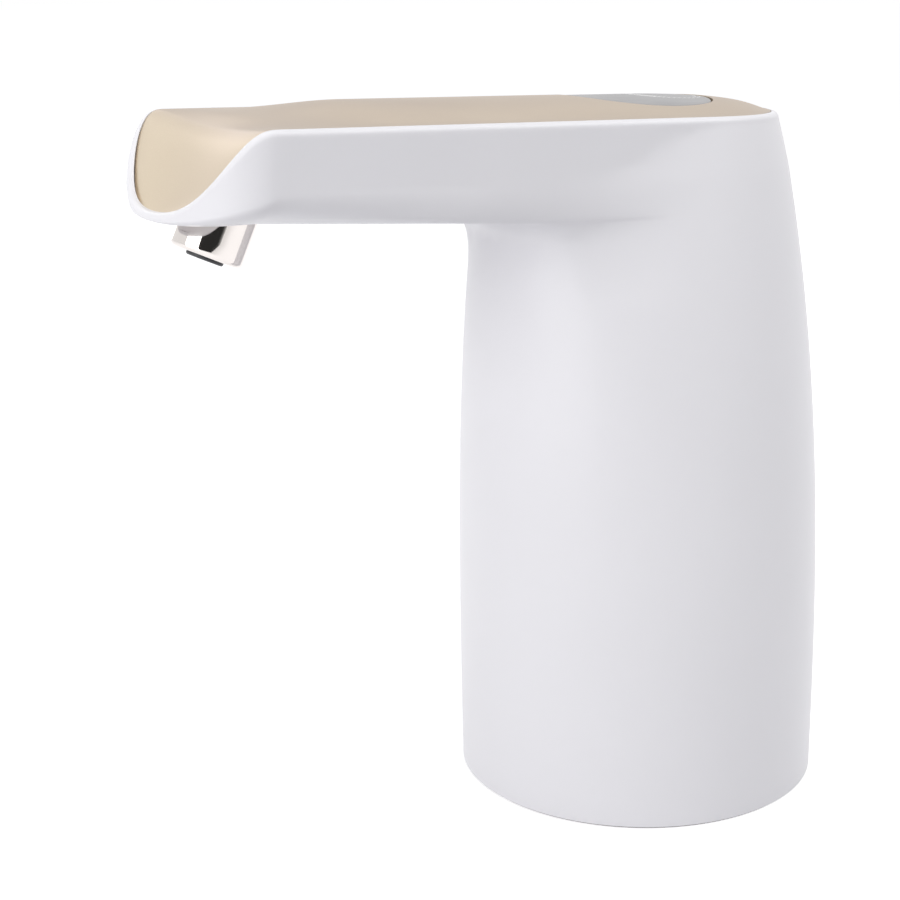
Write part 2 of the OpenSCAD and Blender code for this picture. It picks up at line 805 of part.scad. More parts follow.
module motor_end_cap() {
    color([0.12, 0.12, 0.12]) at_pump() difference() {
        union() {
            rod(motor_r, motor_top, motor_top + cap_t);
            pipe(motor_r - can_t, motor_r - can_t - spigot_t, motor_top - spigot_l, motor_top);
        }
        rod(bush_r, motor_top - cut, motor_top + bush_in);
        at_sides() terminal(motor_top - cut, motor_top + cap_t + cut);
    }
}

bush_out = 1;
bush_low = 0.8;
module motor_bushings() {
    color("goldenrod") at_pump() {
        pipe(bush_r, shaft_r + run_gap, motor_z, motor_z + can_floor + bush_out);
        pipe(bush_r, shaft_r + run_gap, motor_top - bush_low, motor_top + bush_in);
    }
}

shaft_end = 0.5;
shaft_high = motor_top + bush_in - shaft_end;
module motor_shaft() {
    color("lightgray") at_pump() rod(shaft_r, shaft_low, shaft_high);
}

// Three-pole rotor
core_low = 8;
core_over = 11;
core_z0 = motor_z + core_low;
core_z1 = motor_top - core_over;
magnet_wall = 2.2;
core_gap = 0.5;
core_r = motor_r - can_t - magnet_wall - core_gap;
core_hub = 3.4;
shoe_in = 6.8;
shoe_w = 12;
pole_w = 2.6;
module rotor_core() {
    color("dimgray") at_pump() difference() {
        union() {
            rod(core_hub, core_z0, core_z1);
            for (a = [0, 120, 240]) rotate(a)
                box(0, (core_r + shoe_in) / 2, -pole_w / 2, pole_w / 2, core_z0, core_z1);
            intersection() {
                pipe(core_r, shoe_in, core_z0, core_z1);
                for (a = [0, 120, 240]) rotate(a)
                    box(core_hub, core_r + cut, -shoe_w / 2, shoe_w / 2, core_z0, core_z1);
            }
        }
        rod(shaft_r, core_z0 - cut, core_z1 + cut);
    }
}

comm_r = 2.8;
comm_h = 5.5;
comm_over = 3.5;
comm_z1 = motor_top - comm_over;
comm_z0 = comm_z1 - comm_h;
comm_slot = 0.4;
module commutator() {
    color([0.8, 0.5, 0.3]) at_pump() difference() {
        pipe(comm_r, shaft_r, comm_z0, comm_z1);
        for (a = [0, 120, 240]) rotate(a)
            box(comm_r - comm_slot, comm_r + cut, -comm_slot / 2, comm_slot / 2,
                comm_z0 - cut, comm_z1 + cut);
    }
}

// Two arc magnets round the rotor
magnet_in = motor_r - can_t - magnet_wall;
magnet_gap = 7;
magnet_over = 2;
module magnets() {
    color([0.2, 0.2, 0.22]) at_pump() difference() {
        pipe(motor_r - can_t, magnet_in, core_z0 - magnet_over, core_z1 + magnet_over);
        box(-magnet_gap / 2, magnet_gap / 2, -motor_r, motor_r, motor_z, motor_top);
    }
}

// Two brushes on the commutator, each on a spring arm from the motor's cap
brush_w = 2;
brush_l = 2.4;
brush_h = 3;
brush_low = 3.5;
arm_t = 1.2;
brush_in = comm_r + run_gap;
arm_in = brush_in + brush_l;
brush_z = comm_z1 - brush_low;
module brushes() {
    color([0.1, 0.1, 0.1]) at_pump() at_sides()
        box(-brush_w / 2, brush_w / 2, brush_in, arm_in, brush_z, brush_z + brush_h);
    color([0.8, 0.6, 0.3]) at_pump() at_sides()
        box(-brush_w / 2, brush_w / 2, arm_in, arm_in + arm_t, brush_z, motor_top);
}

module motor_terminals() {
    color("silver") at_pump() at_sides() terminal(motor_top, motor_top + cap_t + terminal_h);
}

// Battery cell standing in the frame
cell_tip_r = 3.2;
cell_tip_h = 1.2;
module battery_cell() {
    color("steelblue") translate([cell_x, 0, 0]) {
        rod(cell_r, cell_z, cell_z + cell_l - cell_tip_h);
        rod(cell_tip_r, cell_z + cell_l - cell_tip_h, cell_z + cell_l);
    }
}

tab_w = 8;
module battery_tabs() {
    color("silver") translate([cell_x, 0, 0]) for (z = [cell_z - tab_t, cell_z + cell_l])
        box(-tab_w / 2, tab_w / 2, -tab_w / 2, tab_w / 2, z, z + tab_t);
}

// Control board with the charging socket at its rear edge
stand_x = 14;
stand_y = 13;
stand_r = 2.2;
board_front = -10;
board_y = 16;
board_gap = 0.6;
usb_over = 4;
chip_w = 6;
chip_h = 1.4;
chip_x = 1;
module at_stands() { for (s = [-1, 1]) translate([stand_x, s * stand_y, 0]) children(); }

module main_board() {
    color("darkgreen") difference() {
        intersection() {
            box(board_front, usb_face - usb_over, -board_y, board_y, board_z, board_z + board_t);
            rod(side_r(board_z + board_t) - wall - board_gap, board_z - cut, board_z + board_t + cut);
        }
        at_stands() rod(screw_r + gap, board_z - cut, board_z + board_t + cut);
    }
    color([0.1, 0.1, 0.1]) translate([chip_x, 0, board_z + board_t])
        box(-chip_w / 2, chip_w / 2, -chip_w / 2, chip_w / 2, 0, chip_h);
}

module main_screws() {
    color("silver") at_stands() translate([0, 0, board_z + board_t]) mirror([0, 0, 1])
        screw(board_t + screw_hold);
}

// Charging socket with a tongue between its two wells
module usb_socket() {
    color("silver") difference() {
        box(usb_face - usb_l, usb_face, -usb_w / 2, usb_w / 2, usb_z - usb_h / 2, usb_z + usb_h / 2);
        for (s = [-1, 1]) translate([0, 0, usb_z]) scale([1, 1, s])
            box(usb_face - usb_deep, usb_face + cut, -usb_w / 2 + usb_skin, usb_w / 2 - usb_skin,
                usb_tongue, usb_h / 2 - usb_skin);
    }
}

// Frame that carries motor, battery and board
frame_x = -9.4;
frame_y = 13;
foot_y = 10;
foot_over = 1.8;
clip_t = 1.8;
clip_h = 5;
clip_y = 4;
clip_low = 16;
clip_high = 19;
clamp_t = 2;
clamp_up = 12;
clamp_h = 6;
clamp_y = 8;
clamp_z = motor_z + clamp_up;
frame_join = 1;
foot_screw_x = cell_x + 6;
foot_screw_y = 7;
module at_feet() { for (s = [-1, 1]) translate([foot_screw_x, s * foot_screw_y, 0]) children(); }

module inner_frame() {
    color("gainsboro") difference() {
        union() {
            box(frame_x, frame_x + plate_t, -frame_y, frame_y, deck_top, board_z);
            box(cell_x - cell_r - foot_over, frame_x + frame_join, -foot_y, foot_y,
                deck_top, deck_top + plate_t);
            at_pump() rod(motor_r + clamp_t, clamp_z, clamp_z + clamp_h);
            box(frame_x, 0, -clamp_y, clamp_y, clamp_z, clamp_z + clamp_h);
            for (z = [cell_z + clip_low, cell_z + cell_l - clip_high]) {
                translate([cell_x, 0, 0]) rod(cell_r + clip_t, z, z + clip_h);
                box(cell_x + cell_r, frame_x + frame_join, -clip_y, clip_y, z, z + clip_h);
            }
            at_stands() rod(stand_r, clamp_z, board_z);
        }
        at_pump() rod(motor_r, clamp_z - cut, clamp_z + clamp_h + cut);
        translate([cell_x, 0, 0]) rod(cell_r, deck_top + plate_t, board_z);
        at_stands() rod(screw_r, board_z - screw_hold, board_z + cut);
        at_feet() rod(screw_r, deck_top - cut, deck_top + plate_t + cut);
    }
}

module frame_screws() {
    color("silver") at_feet() translate([0, 0, deck_z]) screw(deck_t + plate_t);
}

// Base: neck socket, seal, hose connector and rubber ring
connector_r = 6;
spigot_r = 4.8;
spigot_over = 1;
hose_r = 3.4;
hose_low = 0.5;
module hose_connector() {
    color("gainsboro") difference() {
        union() {
            rod(connector_r, deck_top, deck_top + connector_t);
            rod(spigot_r, deck_z - spigot_over, deck_top + spigot_over);
            rod(hose_r, neck_depth + hose_low, deck_z);
            rod(nipple_r, deck_top, deck_top + connector_t + pipe_half);
        }
        rod(bore_r, neck_depth - cut, head_z);
    }
}

tube_t = 1.2;
module inlet_tube() {
    color("white") pipe(nipple_r + tube_t, nipple_r, deck_top + connector_t, head_z);
}

module neck_sleeve() {
    color("white") difference() {
        union() {
            rod(sleeve_r, 0, deck_top);
            rod(deck_r, deck_z, deck_top);
        }
        rod(neck_r, -cut, neck_depth);
        rod(neck_r - seal_step, 0, deck_z);
        rod(spigot_r, deck_z - cut, deck_top + cut);
        at_bosses() rod(screw_r + gap, deck_z - cut, deck_top + cut);
        at_feet() rod(screw_r + gap, deck_z - cut, deck_top + cut);
    }
}

module neck_seal() {
    color([0.75, 0.75, 0.75]) pipe(neck_r - seal_step, neck_r - seal_step - seal_w, neck_depth, deck_z);
}

ring_inset = 0.5;
module base_ring() {
    color([0.25, 0.25, 0.26]) pipe(base_r - ring_inset, sleeve_r, 0, ring_t);
}

boss_spare = 3;
module base_screws() {
    color("silver") at_bosses() translate([0, 0, deck_z]) screw(deck_t + boss_h - boss_spare);
}

main_shell();
top_panel();
power_button();
button_inlay();
button_board();
board_screws();
tact_switch();
switch_plunger();
status_led();
outlet_nozzle();
nozzle_insert();
nozzle_nut();
nozzle_seal();
outlet_tube();
pump_head();
valve_plate();
valve_discs();
diaphragm();
wobble_plate();
swash_pin();
eccentric();
pump_housing();
pump_screws();
motor_screws();
motor_can();
motor_end_cap();
motor_bushings();
motor_shaft();
rotor_core();
commutator();
magnets();
brushes();
motor_terminals();
battery_cell();
battery_tabs();
main_board();
main_screws();
usb_socket();
inner_frame();
frame_screws();
hose_connector();
inlet_tube();
neck_sleeve();
neck_seal();
base_ring();
base_screws();
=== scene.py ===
import json
import math

import bmesh
import bpy
import numpy as np
from mathutils import Matrix, Vector


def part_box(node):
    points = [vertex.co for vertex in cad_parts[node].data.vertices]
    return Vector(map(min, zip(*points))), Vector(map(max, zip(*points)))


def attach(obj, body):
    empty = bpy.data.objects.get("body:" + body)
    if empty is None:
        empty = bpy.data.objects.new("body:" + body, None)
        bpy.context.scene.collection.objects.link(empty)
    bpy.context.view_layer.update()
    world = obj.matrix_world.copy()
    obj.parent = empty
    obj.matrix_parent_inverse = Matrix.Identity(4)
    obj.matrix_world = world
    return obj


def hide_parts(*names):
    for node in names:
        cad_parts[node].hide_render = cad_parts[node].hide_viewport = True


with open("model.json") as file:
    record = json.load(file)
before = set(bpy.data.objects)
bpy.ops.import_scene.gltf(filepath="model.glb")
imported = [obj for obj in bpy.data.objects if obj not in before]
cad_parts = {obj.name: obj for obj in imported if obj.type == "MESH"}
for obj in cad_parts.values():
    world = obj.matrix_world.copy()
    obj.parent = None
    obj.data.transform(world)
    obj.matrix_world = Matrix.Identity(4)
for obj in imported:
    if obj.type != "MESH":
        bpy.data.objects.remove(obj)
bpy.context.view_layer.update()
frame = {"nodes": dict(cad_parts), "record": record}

mm = 0.001
# edges that turn by more than this many degrees are shaded sharp
sharpAngle = 35


# Shader maths: a wire stands for a socket, and an expression on wires adds its Math nodes

class Wire:
    def __init__(self, paint, socket):
        self.paint = paint
        self.socket = socket

    def math(self, operation, first, second):
        return self.paint.node("ShaderNodeMath", {"operation": operation}, {0: first, 1: second})

    def __add__(self, other):
        return self.math("ADD", self, other)

    __radd__ = __add__

    def __sub__(self, other):
        return self.math("SUBTRACT", self, other)

    def __mul__(self, other):
        return self.math("MULTIPLY", self, other)

    __rmul__ = __mul__


class Paint:
    # paints a new material, or the world whose tree is given
    def __init__(self, name, tree=None):
        self.material = None if tree else bpy.data.materials.new(name)
        if not tree:
            self.material.use_nodes = True
        self.tree = tree or self.material.node_tree
        self.tree.nodes.clear()
        kind = "ShaderNodeOutputWorld" if tree else "ShaderNodeOutputMaterial"
        self.output = self.tree.nodes.new(kind)

    # settings are set first, then the sockets' values or links
    def node(self, kind, settings=None, sockets=None, out=0):
        made = self.tree.nodes.new(kind)
        for key, value in (settings or {}).items():
            setattr(made, key, value)
        for key, value in (sockets or {}).items():
            if isinstance(value, Wire):
                self.tree.links.new(value.socket, made.inputs[key])
            else:
                made.inputs[key].default_value = value
        return Wire(self, made.outputs[out])

    def place(self):
        return self.node("ShaderNodeTexCoord", out="Object")

    # soft noise between 0 and 1, size is one blotch in metres
    def noise(self, size, detail=2.0, stretch=(1, 1, 1)):
        spot = self.node("ShaderNodeMapping", {}, {"Vector": self.place(), "Scale": stretch})
        return self.node("ShaderNodeTexNoise", {},
                         {"Vector": spot, "Scale": 1 / size, "Detail": detail})

    # colour between two tones by a wire
    def between(self, wire, low, high):
        return self.node("ShaderNodeMix", {"data_type": "RGBA"},
                         {"Factor": wire, 6: (*low, 1), 7: (*high, 1)}, out=2)

    def bump(self, height, depth, strength=0.4):
        return self.node("ShaderNodeBump", {},
                         {"Height": height, "Distance": depth, "Strength": strength})

    def surface(self, sockets):
        shader = self.node("ShaderNodeBsdfPrincipled", {}, sockets)
        self.tree.links.new(shader.socket, self.output.inputs["Surface"])
        return self.material


# a screen tone, 0 to 255 each, as shares of light
def linear(rgb):
    shares = [v / 255 for v in rgb]
    return tuple(c / 12.92 if c <= 0.04045 else ((c + 0.055) / 1.055) ** 2.4 for c in shares)


# Finishes, one for each material slot of the record

def mouldedPlastic(name, tone, gloss, grain=0.0006, depth=0.00001, shine=0.5):
    paint = Paint(name)
    cloud = paint.noise(0.03)
    grainWire = paint.noise(grain, 1.0)
    base = linear(tone)
    dark = tuple(c * 0.97 for c in base)
    return paint.surface({
        "Base Color": paint.between(cloud, dark, base),
        "Roughness": gloss + (cloud - 0.5) * 0.06 + (grainWire - 0.5) * 0.04,
        "Specular IOR Level": shine,
        "Normal": paint.bump(grainWire, depth, 0.25)})


def champagneLacquer(name):
    paint = Paint(name)
    flake = paint.noise(0.00025, 1.0)
    cloud = paint.noise(0.025)
    tone = flake * 0.6 + cloud * 0.4
    return paint.surface({
        "Base Color": paint.between(tone, linear((230, 214, 188)), linear((244, 231, 208))),
        "Metallic": 1.0,
        "Roughness": 0.34 + (flake - 0.5) * 0.1 + (cloud - 0.5) * 0.05,
        "Specular Tint": (0.53, 0.52, 0.58, 1),
        "Normal": paint.bump(flake, 0.000012, 0.2)})


def buttonSatin(name):
    paint = Paint(name)
    brush = paint.noise(0.0007, 2.0, (0.1, 1, 1))
    cloud = paint.noise(0.012)
    return paint.surface({
        "Base Color": paint.between(cloud, linear((138, 137, 138)), linear((164, 163, 165))),
        "Metallic": 0.25,
        "Roughness": 0.36 + (brush - 0.5) * 0.12,
        "Normal": paint.bump(brush, 0.00001, 0.2)})


def metalFinish(name, tone, rough, streak=0.0008, depth=0.000006):
    paint = Paint(name)
    brush = paint.noise(streak, 2.0, (1, 1, 0.15))
    smear = paint.noise(0.006)
    base = linear(tone)
    return paint.surface({
        "Base Color": paint.between(smear, tuple(c * 0.93 for c in base), base),
        "Metallic": 1.0,
        "Roughness": rough + (brush - 0.5) * rough * 0.5 + (smear - 0.5) * rough * 0.4,
        "Normal": paint.bump(brush, depth, 0.15)})


def softRubber(name, tone, rough):
    paint = Paint(name)
    speck = paint.noise(0.0008, 3.0)
    cloud = paint.noise(0.01)
    base = linear(tone)
    return paint.surface({
        "Base Color": paint.between(cloud, tuple(c * 0.85 for c in base), base),
        "Roughness": rough + (speck - 0.5) * 0.1,
        "Normal": paint.bump(speck, 0.00003, 0.4)})


def solderMask(name):
    paint = Paint(name)
    track = paint.node("ShaderNodeTexVoronoi", {"feature": "DISTANCE_TO_EDGE"},
                       {"Vector": paint.place(), "Scale": 260.0})
    line = paint.node("ShaderNodeMapRange", {}, {"Value": track, 1: 0.04, 2: 0.1, 3: 1.0, 4: 0.0})
    return paint.surface({
        "Base Color": paint.between(line, linear((16, 74, 40)), linear((38, 110, 62))),
        "Roughness": 0.32 + line * 0.12,
        "Normal": paint.bump(line, 0.00003, 0.3)})


finishes = {
    "white_plastic": mouldedPlastic("satin white housing", (233, 232, 236), 0.36, shine=0.35),
    "natural_plastic": mouldedPlastic("natural plastic", (214, 213, 208), 0.5),
    "gold_panel": champagneLacquer("champagne lacquer"),
    "button_grey": buttonSatin("grey satin button"),
    "inlay_white": mouldedPlastic("milky light ring", (240, 240, 238), 0.3),
    "board_green": solderMask("solder mask"),
    "black_plastic": mouldedPlastic("black moulding", (44, 44, 47), 0.48),
    "chrome": metalFinish("chrome plating", (226, 220, 216), 0.06, 0.002),
    "rubber_dark": softRubber("dark rubber", (62, 61, 63), 0.62),
    "rubber_light": softRubber("milky silicone", (222, 222, 218), 0.5),
    "steel": metalFinish("plated steel", (190, 190, 194), 0.3),
    "iron": metalFinish("laminated iron", (96, 96, 100), 0.45),
    "brass": metalFinish("sintered bronze", (196, 150, 92), 0.35),
    "cell_wrap": mouldedPlastic("cell sleeve", (52, 104, 160), 0.35)}
slotOf = {row["node"]: row["material_slot"] for row in frame["record"]["subparts"]}
for nodeName, cadNode in frame["nodes"].items():
    cadNode.data.materials.clear()
    cadNode.data.materials.append(finishes[slotOf[nodeName]])
# the foot's rubber is paler than the seals inside
frame["nodes"]["base_ring"].data.materials[0] = softRubber("foot rubber", (150, 143, 146), 0.6)
print("finishes set on", len(slotOf), "nodes")


# Mesh helpers

def lerp(a, b, t):
    return a + (b - a) * t


# 0 to 1 with a gentle start and end
def smooth(t):
    u = np.clip(t, 0, 1)
    return u * u * (3 - 2 * u)


# quads between the rows and columns of a grid of points, closed either way where asked
def gridFaces(rows, cols, loopRows=False, loopCols=False):
    i = np.arange(rows if loopRows else rows - 1)[:, None]
    j = np.arange(cols if loopCols else cols - 1)[None, :]
    i2 = (i + 1) % rows
    j2 = (j + 1) % cols
    corners = np.broadcast_arrays(i * cols + j, i * cols + j2, i2 * cols + j2, i2 * cols + j)
    return np.stack(corners, -1).reshape(-1, 4)


# points in millimetres become a smooth-shaded piece in metres
def makePiece(name, points, faces, body, nodes, slot, sharp=sharpAngle):
    mesh = bpy.data.meshes.new(name)
    mesh.from_pydata((points.reshape(-1, 3) * mm).tolist(), [], [list(f) for f in faces])
    work = bmesh.new()
    work.from_mesh(mesh)
    bmesh.ops.remove_doubles(work, verts=work.verts, dist=2e-7)
    bmesh.ops.recalc_face_normals(work, faces=work.faces)
    work.to_mesh(mesh)
    work.free()
    mesh.polygons.foreach_set("use_smooth", [True] * len(mesh.polygons))
    mesh.set_sharp_from_angle(angle=math.radians(sharp))
    piece = bpy.data.objects.new(name, mesh)
    bpy.context.scene.collection.objects.link(piece)
    mesh.materials.append(finishes[slot])
    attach(piece, body)
    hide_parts(*nodes)
    print("piece", name, len(mesh.polygons), "faces")
    return piece


# closed prism with the given outline, between two heights on its own z, then turned and moved
def prism(outline, low, high, turn=np.eye(3), shift=(0, 0, 0)):
    count = len(outline)
    points = np.vstack([np.column_stack([outline, np.full(count, z)]) for z in (low, high)])
    sides = gridFaces(2, count, loopCols=True).tolist()
    ends = [list(range(count))[::-1], list(range(count, 2 * count))]
    return points @ turn.T + np.array(shift), sides + ends


def circle(r, count=96):
    a = 2 * np.pi * np.arange(count) / count
    return np.column_stack([r * np.cos(a), r * np.sin(a)])


# takes prisms out of a piece, or adds them to it
def carve(piece, prisms, operation):
    work = bmesh.new()
    for points, faces in prisms:
        corners = [work.verts.new(p) for p in (points * mm).tolist()]
        for face in faces:
            work.faces.new([corners[k] for k in face])
    bmesh.ops.recalc_face_normals(work, faces=work.faces)
    mesh = bpy.data.meshes.new("cutter")
    work.to_mesh(mesh)
    work.free()
    cutter = bpy.data.objects.new("cutter", mesh)
    bpy.context.scene.collection.objects.link(cutter)
    saw = piece.modifiers.new("opening", "BOOLEAN")
    saw.operation = operation
    saw.solver = "EXACT"
    saw.object = cutter
    bpy.context.view_layer.update()
    sawn = piece.evaluated_get(bpy.context.evaluated_depsgraph_get())
    carved = bpy.data.meshes.new_from_object(sawn)
    piece.modifiers.clear()
    piece.data = carved
    bpy.data.objects.remove(cutter)
    carved.set_sharp_from_angle(angle=math.radians(sharpAngle))


# Housing: stacked closed rings, from a round body to a straight-sided spout with a scooped nose

housing = dict(
    baseR=38.75, bodyH=143.5, sideTaper=11, taperPower=2.7, belly=0.4, frontTaper=2.7, frontPower=4,
    rootZ=125.2, rootUp=6, rootOut=13, rootLift=0.6, spoutX=94.5, noseLen=14.5, spoutDraft=-0.08,
    scoopDrop=16, scoopPower=1.9, scoopStart=1.4, scoopBend=0.6,
    topRise=0.035, underRise=0.1085, underBend=0.00075, blendFrom=8, blendTo=42.05,
    edgeRoot=2.8, edgeMid=2.8, edgePower=5, edgeNose=18, edgeTip=3.5, edgeUp=7, edgeUpTip=0.9,
    edgeFrom=38.05, edgeRun=14, valley=5, valleyRun=12, cornerFrom=0.3, cornerTo=0.55,
    bottomZ=0.4, footZ=1.6, footLip=0.4, wall=2.2, floorT=1.2,
    lip=1.5, rimRound=1.2, panelT=1.6, ledge=1.4, ledgeT=0.6, sharp=50,
    bossR=3.4, bossSink=0.8, bossHole=1.25, bossLow=26.5, bossHigh=40.5, bossHoleHigh=38.5,
    bossTurns=(30, 150, 270), slotMargin=0.15,
    relaxX=(12, 56), relaxY=(14, 24), relaxZ=(108, 136), relaxFade=10, relaxTopFade=8, relaxRounds=60,
    bodyRows=60, rootRows=25, blendRows=13, edgeRows=17, wallRows=18, quarterRows=9, innerRows=12,
    outerRings=128, sidePoints=44, flankPoints=13, nosePoints=56, rearPoints=96)
h = housing
spoutW = h["baseR"] - h["sideTaper"]
frontRoot = h["baseR"] - h["frontTaper"]
frontPoints = 2 * h["sidePoints"] + h["nosePoints"]
frontIndex = np.arange(frontPoints + 1)
nearSide = np.where(frontIndex < frontPoints / 2, -1, 1)
noseAngle = np.radians(np.clip(-90 + 180 * (frontIndex - h["sidePoints"]) / h["nosePoints"], -90, 90))
noseCos = np.maximum(0, np.cos(noseAngle))
sideShare = np.clip(np.minimum(frontIndex, frontPoints - frontIndex) / h["sidePoints"], 0, 1)
rearAngle = np.radians(90 - 180 * np.arange(1, h["rearPoints"]) / h["rearPoints"])


# the body's radius bulges by half a sine wave
def bellyR(z):
    return h["baseR"] + h["belly"] * np.sin(np.pi * np.clip(z / h["bodyH"], 0, 1))


def sideR(z):
    return bellyR(z) - h["sideTaper"] * (np.maximum(0, z) / h["bodyH"]) ** h["taperPower"]


def frontR(z):
    return bellyR(z) - h["frontTaper"] * (np.maximum(0, z) / h["rootZ"]) ** h["frontPower"]


# the spout's underside rises forwards along a parabola
def underZ(x):
    ahead = np.maximum(0, -x - frontRoot)
    return h["rootZ"] + h["underRise"] * ahead - h["underBend"] * ahead ** 2


def spoutWeight(x):
    return smooth((-x - h["blendFrom"]) / (h["blendTo"] - h["blendFrom"]))


# the scoop's edge falls in a gentle S from the spout's top to the nose
def rimZ(x, c):
    fall = lerp(c ** h["scoopPower"], smooth(c ** h["scoopStart"]), h["scoopBend"])
    return h["bodyH"] - h["topRise"] * x - h["scoopDrop"] * fall


# larger of two widths, rounded over a span k where they meet
def softMax(a, b, k):
    near = np.maximum(k - np.abs(a - b), 0)
    return np.maximum(a, b) + near * near / (4 * np.maximum(k, 1e-6))


# cosine and sine round the body's front; on the flanks the points keep the spout outline's x
def frontArc(reach):
    flank = h["flankPoints"]
    bend = math.acos(h["spoutX"] * flank / h["sidePoints"] / reach)
    turn = np.interp(frontIndex, [flank, frontPoints - flank], [-bend, bend])
    straight = sideShare < flank / h["sidePoints"]
    cosA = np.where(straight, h["spoutX"] * sideShare / reach, np.cos(turn))
    return cosA, np.sqrt(1 - cosA ** 2)


# one ring: half circle behind, and in front a blend m from half ellipse to spout outline; grow is the
# share of the root's fillet, e and up are shares of the bottom edge's rounding, inwards and upwards
def ring(rear, d=0, e=0, m=0, grow=0, up=None, f=0, drop=0, thick=0, tipUp=None):
    noseLen = h["noseLen"] - d - e * h["edgeTip"]
    spoutPx = -h["spoutX"] * sideShare - noseLen * noseCos
    rise = lerp(rear, h["bodyH"], f)
    reach = frontR(min(rise, h["rootZ"])) - d
    wBody = sideR(rise) - d
    wSpout = spoutW + h["spoutDraft"] * (1 - f) * (h["bodyH"] - h["rootZ"]) - d
    cosA, sinA = frontArc(reach)
    # the root's fillet reaches out in front only, fading to nothing at the flanks
    bendCos = h["spoutX"] * h["flankPoints"] / h["sidePoints"] / reach
    fillet = grow * h["rootOut"] * smooth((cosA - bendCos) / (1 - bendCos))
    x = lerp(-reach * cosA - fillet, spoutPx, m)
    low = np.full_like(x, rear)
    if up is not None:
        lift = up * lerp(h["edgeUp"], h["edgeUpTip"] if tipUp is None else tipUp, noseCos)
        low = lerp(low, underZ(x) + lift + thick, spoutWeight(x))
    # towards the root the corners flare out to the spout's sides
    flare = h["edgeRoot"] * (np.maximum(0, h["rootZ"] + h["edgeUp"] + thick - low) / h["edgeUp"]) ** 2
    span = h["valley"] * smooth(cosA * reach / h["valleyRun"])
    flared = softMax(wBody * sinA, wSpout - flare, span)
    corner = smooth((sinA - h["cornerFrom"]) / (h["cornerTo"] - h["cornerFrom"]))
    roundY = lerp(wBody * sinA, flared, corner)
    away = smooth((-spoutPx - h["edgeFrom"]) / h["edgeRun"])
    rounding = e * lerp(h["edgeMid"], h["edgeNose"], sideShare ** h["edgePower"])
    inset = lerp(flare, rounding, away)
    flank = wBody * np.sqrt(np.maximum(0, 1 - (spoutPx / reach) ** 2))
    span = h["valley"] * (1 - f) * smooth(-spoutPx / h["valleyRun"])
    spoutY = softMax(flank, wSpout - inset, span)
    y = nearSide * lerp(roundY, np.abs(np.sin(noseAngle)) * spoutY, m)
    front = np.stack([x, y, lerp(low, rimZ(x, noseCos * m), f) - drop], -1)
    rearX = wBody * np.cos(rearAngle)
    rearZ = lerp(rear, rimZ(rearX, 0), f) - drop
    back = np.stack([rearX, wBody * np.sin(rearAngle), rearZ], -1)
    return np.vstack([front, back])


# ring up the spout's walls, f is the share of the way to the rim
def wallRing(f, d=0, drop=0):
    return ring(h["rootZ"] + h["edgeUp"], d=d, m=1, up=1, f=f, drop=drop)


# ring round the spout's lower edge, a turns from below to the side
def edgeRing(a, d=0, thick=0, tipUp=None):
    up = 1 - np.cos(a)
    rear = h["rootZ"] + lerp(h["rootLift"], h["edgeUp"], up) + thick
    return ring(rear, d=d, e=1 - np.sin(a), m=1, up=up, thick=thick, tipUp=tipUp)


# ring round the fillet under the spout
def rootRing(a, d=0, thick=0):
    out = 1 - np.cos(a)
    rear = h["rootZ"] - h["rootUp"] * (1 - np.sin(a)) + thick * out
    return ring(rear, d=d, grow=out, thick=thick * out)


# ring across the underside, from the fillet to the spout's lower edge
def blendRing(m, d=0, thick=0):
    rear = h["rootZ"] + thick + h["rootLift"] * m
    return ring(rear, d=d, e=1, m=m, grow=1, up=0, thick=thick)


def quarterTurn(count):
    return np.radians(np.linspace(0, 90, count))


def housingRings():
    quarter = quarterTurn(h["quarterRows"])
    rootLow = h["rootZ"] - h["rootUp"]
    rim = h["rimRound"]
    shelf = h["lip"] + h["ledge"]
    rings = [ring(z) for z in np.linspace(h["bottomZ"], rootLow, h["bodyRows"])[:-1]]
    rings += [rootRing(a) for a in quarterTurn(h["rootRows"])]
    rings += [blendRing(m) for m in np.linspace(0, 1, h["blendRows"])[1:]]
    rings += [edgeRing(a) for a in quarterTurn(h["edgeRows"])[1:]]
    rings += [wallRing(f, 0, f * rim) for f in np.linspace(0, 1, h["wallRows"])[1:-1]]
    rings += [wallRing(1, rim * (1 - np.cos(a)), rim * (1 - np.sin(a))) for a in quarter]
    rings += [wallRing(1, h["lip"]), wallRing(1, h["lip"], h["panelT"])]
    rings += [wallRing(1, shelf, h["panelT"]), wallRing(1, shelf, h["panelT"] + h["ledgeT"])]
    # back down inside, a wall's thickness in
    rings += [edgeRing(a, h["wall"], h["floorT"], 0) for a in quarter[::-2]]
    rings += [blendRing(m, h["wall"], h["floorT"]) for m in (0.5, 0)]
    rings += [rootRing(a, h["wall"], h["floorT"]) for a in quarter[-2::-2]]
    rings += [ring(z, d=h["wall"]) for z in np.linspace(rootLow, h["footZ"], h["innerRows"])[1:]]
    # a thin skirt hides the foot but for a line
    rings += [ring(h["footZ"], d=h["footLip"]), ring(h["bottomZ"], d=h["footLip"])]
    return np.array(rings)


# 1 between two limits, fading out inside each of them
def fadedWithin(value, low, high, lowFade, highFade):
    return smooth((value - low) / lowFade) * smooth((high - value) / highFade)


